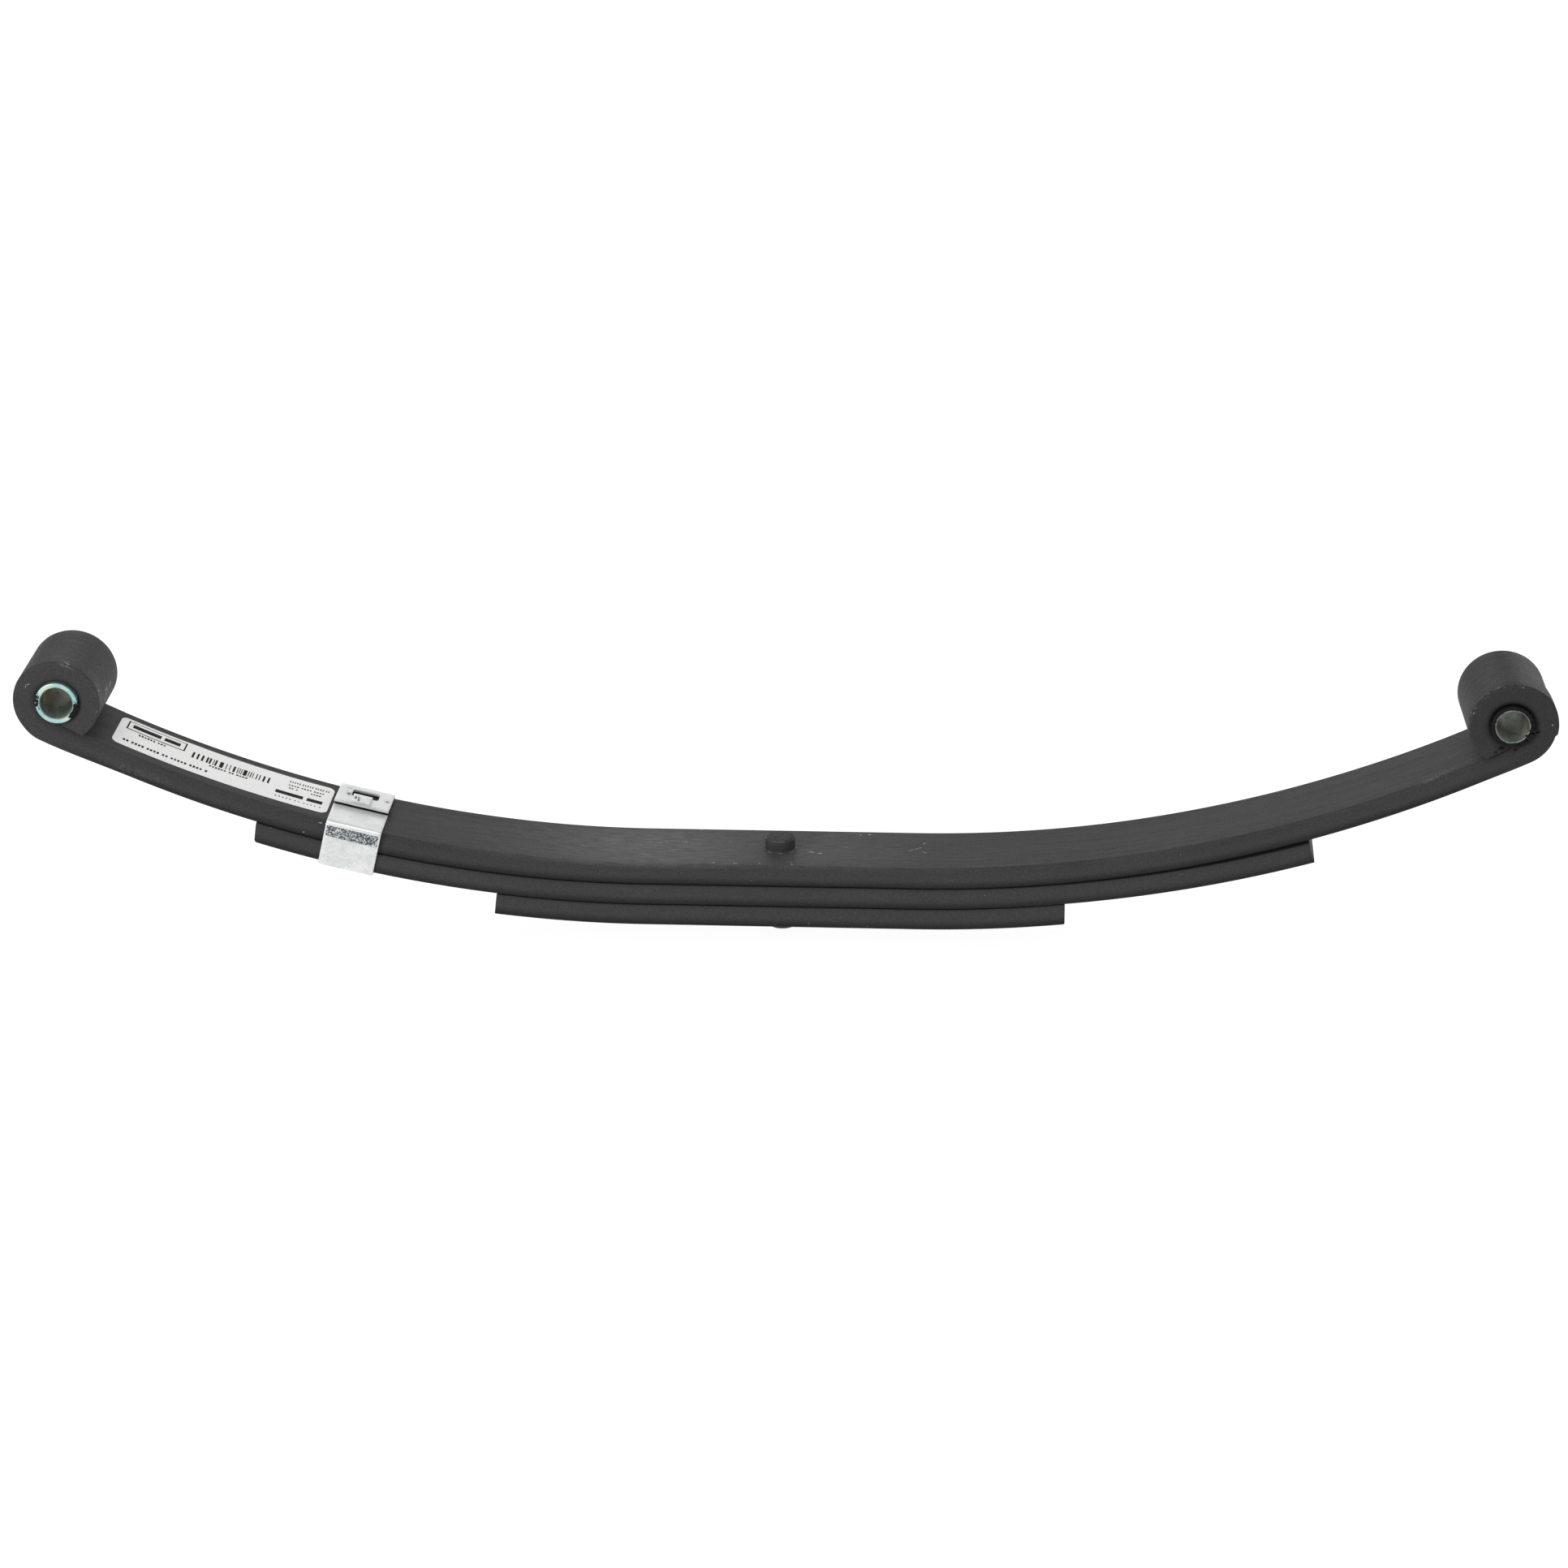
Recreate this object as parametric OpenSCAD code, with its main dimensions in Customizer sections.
// Three-leaf trailer spring with two upturned eyes.
// X runs along the spring, Y across the leaves, +Z up towards the eyes.
// The origin is on the centre bolt's axis, on the main leaf's upper (seat) face.
// All lengths are in millimetres, all angles in degrees.

/* [Spring] */
// Distance between the two eye centres
eye_span = 641.35; // [560:0.05:720]
// Width of every leaf
leaf_w = 44.45; // [38:0.05:64]
// Thickness of every leaf
leaf_t = 9.5; // [6:0.1:13]
// Gap between neighbouring leaves
leaf_gap = 0.2; // [0.05:0.05:1]
// Radius of the rolled long edges
edge_r = 2; // [0.5:0.1:4]
// Half length of the flat axle seat
seat_half = 60; // [30:1:90]
// Radius of the upper face of the arms
arm_r = 570; // [480:1:900]

/* [Shorter leaves] */
// Length along the leaf from the centre bolt to each end of the second leaf
second_reach = 234; // [180:1:260]
// Radius of the second leaf's right arm, which stands a little off the main leaf
second_right_r = 607; // [580:1:640]
// Length along the leaf from the centre bolt to each end of the third leaf
third_reach = 125; // [90:1:160]

/* [Eyes and bushings] */
// Inner radius of the rolled eyes
eye_r = 9.6; // [8:0.05:16]
// How far round the rolled end goes before it meets the leaf again
eye_wrap = 332; // [300:1:340]
// Gap between the rolled end and the leaf
tip_gap = 0.6; // [0.4:0.1:2]
// Outer radius of the steel bushings
bush_r = 9.53; // [7.9:0.01:15.9]
// Bore radius of the steel bushings
bore_r = 7.25; // [5:0.05:12]
// Length of the steel bushings
bush_len = 47.6; // [44:0.1:66]
// Chamfer at the bushings' mouths
bush_chamfer = 0.4; // [0.1:0.1:1]

/* [Centre bolt] */
// Shank radius of the centre bolt
bolt_r = 3.97; // [3:0.01:6]
// Radius of the bolt holes in the leaves
hole_r = 4.2; // [3.2:0.1:7]
// Radius of the round bolt head
head_r = 6.75; // [5:0.05:10]
// Height of the round bolt head
head_h = 5.3; // [3:0.1:9]
// Rounding on the bolt head's upper rim
head_round = 0.8; // [0.2:0.1:2]
// Width across the nut's flats
nut_flats = 12.7; // [10:0.1:19]
// Height of the nut
nut_h = 6.7; // [4:0.1:10]
// Length of bolt standing below the nut
bolt_end = 0.6; // [0:0.1:4]

/* [Rebound clip] */
// Length along the leaf from the centre bolt to the middle of the clip
clip_at = 191.5; // [150:0.5:220]
// Width of the clip's strap
clip_w = 25; // [15:0.5:35]
// Thickness of the clip's strap
clip_t = 1; // [0.8:0.1:3]
// Gap between the strap and the leaves
clip_gap = 0.4; // [0.3:0.05:1]
// Outer radius of the strap's bends
clip_bend = 2.4; // [1.8:0.1:5]
// Upward tilt of the strap's overlapping end
clip_tilt = 5; // [4:0.1:9]
// Where the overlapping end stops, measured from the leaf's middle line
clip_edge = -2.6; // [-6:0.1:6]
// Width of the window in the overlapping end
window_w = 12.4; // [8:0.1:18]
// Width of the tongue that comes up through the window
tongue_w = 9; // [6:0.1:14]
// How far the tongue stands off the middle of the clip, away from the bolt
tongue_shift = 0.9; // [-3:0.1:3]
// Radius of the small round hole in the overlapping end
pin_hole_r = 0.8; // [0.4:0.1:1.5]

/* [Label] */
// Length of the label
label_len = 101.6; // [60:0.1:120]
// Width of the label
label_w = 28.6; // [15:0.1:35]
// Thickness of the label
label_t = 0.15; // [0.1:0.01:0.5]
// Radius of the label's corners
label_round = 3.4; // [1:0.1:8]
// Length along the leaf from the centre bolt to the middle of the label
label_at = 256.4; // [200:0.1:262]
// How far the label was stuck on out of square
label_skew = 0.23; // [-3:0.01:3]
// Sideways shift of the label
label_shift = 1; // [-6:0.1:6]

/* [Hidden] */
pitch = leaf_t + leaf_gap;
arm_angle = asin((eye_span / 2 - seat_half) / (arm_r - eye_r));
eye_x = eye_span / 2;
eye_z = arm_r - (arm_r - eye_r) * cos(arm_angle);
deg_per_mm = 180 / (PI * arm_r);
clip_angle = (clip_at - seat_half) * deg_per_mm;
label_angle = (label_at - seat_half) * deg_per_mm;
stack_h = 3 * leaf_t + 2 * leaf_gap;
half_w = leaf_w / 2;
clip_in_y = half_w + clip_gap;
clip_out_y = clip_in_y + clip_t;
clip_in_low = -(2 * leaf_t + leaf_gap + clip_gap);
clip_out_low = clip_in_low - clip_t;
clip_top = clip_gap + clip_t;
window_back = 16.6;
window_front = 9.4;
front_stop = 4;
tongue_lift = 1.9;
tongue_back = 10.6;
tongue_tip = -1;
pin_hole_x = -10.4;
pin_hole_y = 9.8;
label_lift = 0.03;
paint_black = [0.055, 0.055, 0.057];
zinc = [0.55, 0.62, 0.6];
galvanised = [0.7, 0.71, 0.72];
label_white = [0.78, 0.78, 0.77];
$fn = 96;

// Cross-section of a leaf: x is the thickness direction, from its upper face.
module leaf_section(inset = 0) {
    core_t = leaf_t - 2 * edge_r;
    core_w = leaf_w - 2 * edge_r;
    translate([edge_r, inset - half_w])
        square([core_t, leaf_w - 2 * inset]);
    translate([inset, edge_r - half_w])
        square([leaf_t - 2 * inset, core_w]);
    for (sx = [edge_r, leaf_t - edge_r])
        for (sy = [-1, 1])
            translate([sx, sy * (half_w - edge_r)])
                circle(r = edge_r - inset);
}

// Straight middle of a leaf whose upper face is at height top.
module leaf_seat(top) {
    translate([-seat_half, 0, top])
        rotate([0, 90, 0])
            linear_extrude(2 * seat_half)
                leaf_section();
}

// Right arm of a leaf: an arc that starts at the end of the seat.
module leaf_arm(top, radius, sweep) {
    translate([seat_half, 0, top + radius])
        rotate([90, 0, 0])
            rotate([0, 0, -90])
                rotate_extrude(angle = sweep)
                    translate([radius, 0])
                        leaf_section();
}

// Right eye, rolled up and back until its end lies over the leaf.
// It starts one degree inside the arm and is a hair thinner, so the two join.
module rolled_eye() {
    lead = 1;
    difference() {
        translate([eye_x, 0, eye_z])
            rotate([90, 0, 0])
                rotate([0, 0, arm_angle - 90 - lead])
                    rotate_extrude(angle = eye_wrap + lead)
                        translate([eye_r, 0])
                            leaf_section(0.03);
        translate([eye_x, 0, eye_z])
            rotate([0, -arm_angle, 0])
                translate([-43, -half_w - 1, tip_gap - eye_r - 30])
                    cube([40, leaf_w + 2, 30]);
    }
}

module bolt_hole() {
    translate([0, 0, -stack_h - 1])
        cylinder(h = stack_h + 2, r = hole_r);
}

module main_leaf() {
    color(paint_black)
        difference() {
            union() {
                leaf_seat(0);
                for (m = [0, 1])
                    mirror([m, 0, 0]) {
                        leaf_arm(0, arm_r, arm_angle);
                        rolled_eye();
                    }
            }
            bolt_hole();
        }
}

module second_leaf() {
    left_r = arm_r + pitch;
    left_sweep = (second_reach - seat_half) * deg_per_mm;
    right_sweep = left_sweep * left_r / second_right_r;
    color(paint_black)
        difference() {
            union() {
                leaf_seat(-pitch);
                leaf_arm(-pitch, second_right_r, right_sweep);
                mirror([1, 0, 0])
                    leaf_arm(-pitch, left_r, left_sweep);
            }
            bolt_hole();
        }
}

module third_leaf() {
    low_r = arm_r + 2 * pitch;
    sweep = (third_reach - seat_half) * deg_per_mm;
    color(paint_black)
        difference() {
            union() {
                leaf_seat(-2 * pitch);
                for (m = [0, 1])
                    mirror([m, 0, 0])
                        leaf_arm(-2 * pitch, low_r, sweep);
            }
            bolt_hole();
        }
}

// Steel sleeve on a horizontal axis, with chamfered mouths.
module bushing() {
    c = bush_chamfer;
    h = bush_len / 2;
    color(zinc)
        rotate([90, 0, 0])
            rotate_extrude()
                polygon([
                    [bore_r, c - h],
                    [bore_r + c, -h],
                    [bush_r - c, -h],
                    [bush_r, c - h],
                    [bush_r, h - c],
                    [bush_r - c, h],
                    [bore_r + c, h],
                    [bore_r, h - c],
                ]);
}

module left_bushing() {
    translate([-eye_x, 0, eye_z])
        bushing();
}

module right_bushing() {
    translate([eye_x, 0, eye_z])
        bushing();
}

module center_bolt() {
    under = 0.05;
    low = -stack_h - nut_h - bolt_end - under;
    color(paint_black)
        rotate_extrude() {
            translate([0, low + 0.6])
                square([bolt_r, head_h - 1 - low]);
            translate([0, low])
                square([bolt_r - 0.5, 1]);
            translate([0, under])
                square([head_r, head_h - head_round - under]);
            translate([0, under])
                square([head_r - head_round, head_h - under]);
            translate([head_r - head_round, head_h - head_round])
                circle(r = head_round);
        }
}

module center_nut() {
    corner_r = nut_flats / 2 / cos(30);
    bevel = 0.5;
    color(paint_black)
        translate([0, 0, -stack_h - 0.05 - nut_h])
            difference() {
                intersection() {
                    linear_extrude(nut_h)
                        circle(r = corner_r, $fn = 6);
                    rotate_extrude()
                        polygon([
                            [0, 0],
                            [corner_r - bevel, 0],
                            [corner_r + bevel, 2 * bevel],
                            [corner_r + bevel, nut_h - 2 * bevel],
                            [corner_r - bevel, nut_h],
                            [0, nut_h],
                        ]);
                }
                translate([0, 0, -1])
                    cylinder(h = nut_h + 2, r = bolt_r + 0.05);
            }
}

// Places a child drawn around the leaf's upper face on the left arm.
module on_left_arm(sweep) {
    mirror([1, 0, 0])
        translate([seat_half, 0, arm_r])
            rotate([0, -sweep, 0])
                translate([0, 0, -arm_r])
                    children();
}

// Solid rounded box outline of the strap: x is across the leaf, y is up.
module strap_box(half, low, high, r) {
    translate([-half, low + r])
        square([2 * half, high - low - 2 * r]);
    translate([r - half, low])
        square([2 * (half - r), high - low]);
    for (sx = [-1, 1])
        for (sy = [low + r, high - r])
            translate([sx * (half - r), sy])
                circle(r = r);
}

// Closed lower strap with its front end lying on the leaf.
module strap_outline() {
    difference() {
        strap_box(clip_out_y, clip_out_low, clip_top, clip_bend);
        strap_box(clip_in_y, clip_in_low, clip_gap, clip_bend - clip_t);
        translate([front_stop, clip_gap - 1])
            square([clip_out_y - clip_bend - front_stop, 3]);
    }
}

// Overlapping end: leaves the rear bend and climbs over the front end.
module lap_outline() {
    start = clip_out_y - clip_bend;
    reach = (start - clip_edge) / cos(clip_tilt);
    translate([start, clip_top])
        rotate(-clip_tilt)
            translate([-reach, -clip_t])
                square([reach + 0.6, clip_t]);
}

// Tongue: comes up from the front end and is folded over the overlapping end.
module tongue_outline() {
    foot = tongue_back - clip_t;
    lift = clip_gap + tongue_lift;
    translate([front_stop - 0.5, clip_gap])
        square([tongue_back - front_stop + 0.5, clip_t]);
    translate([foot, clip_gap])
        square([clip_t, lift + 0.2]);
    translate([foot, clip_gap + lift])
        rotate(-clip_tilt)
            translate([tongue_tip - foot, 0])
                square([foot - tongue_tip + clip_t * 0.9, clip_t]);
}

module along_clip(width) {
    rotate([90, 0, 90])
        translate([0, 0, -width / 2])
            linear_extrude(width)
                children();
}

module rebound_clip() {
    color(galvanised)
        on_left_arm(clip_angle) {
            difference() {
                union() {
                    along_clip(clip_w)
                        strap_outline();
                    along_clip(clip_w)
                        lap_outline();
                }
                translate([-window_w / 2, window_front, clip_top + 0.05])
                    cube([window_w, window_back - window_front, 6]);
                translate([-window_w / 2, tongue_back, clip_gap - 1])
                    cube([window_w, window_back - tongue_back, 6]);
                translate([pin_hole_x, pin_hole_y, clip_top + 0.2])
                    cylinder(h = 6, r = pin_hole_r);
            }
            translate([tongue_shift, 0, 0])
                along_clip(tongue_w)
                    tongue_outline();
        }
}

module label() {
    reach = label_len / 2 - label_round;
    side = label_w / 2 - label_round;
    low_r = arm_r - label_lift - label_t;
    color(label_white)
        intersection() {
            mirror([1, 0, 0])
                translate([seat_half, 0, arm_r])
                    rotate([90, 0, 0])
                        rotate([0, 0, -90])
                            rotate_extrude(angle = arm_angle)
                                translate([low_r, -half_w])
                                    square([label_t, leaf_w]);
            on_left_arm(label_angle)
                translate([0, label_shift, -4])
                    rotate([0, 0, label_skew])
                        linear_extrude(12) {
                            square([label_len - 2 * label_round, label_w], center = true);
                            square([label_len, label_w - 2 * label_round], center = true);
                            for (sx = [-reach, reach])
                                for (sy = [-side, side])
                                    translate([sx, sy])
                                        circle(r = label_round);
                        }
        }
}

main_leaf();
second_leaf();
third_leaf();
left_bushing();
right_bushing();
center_bolt();
center_nut();
rebound_clip();
label();
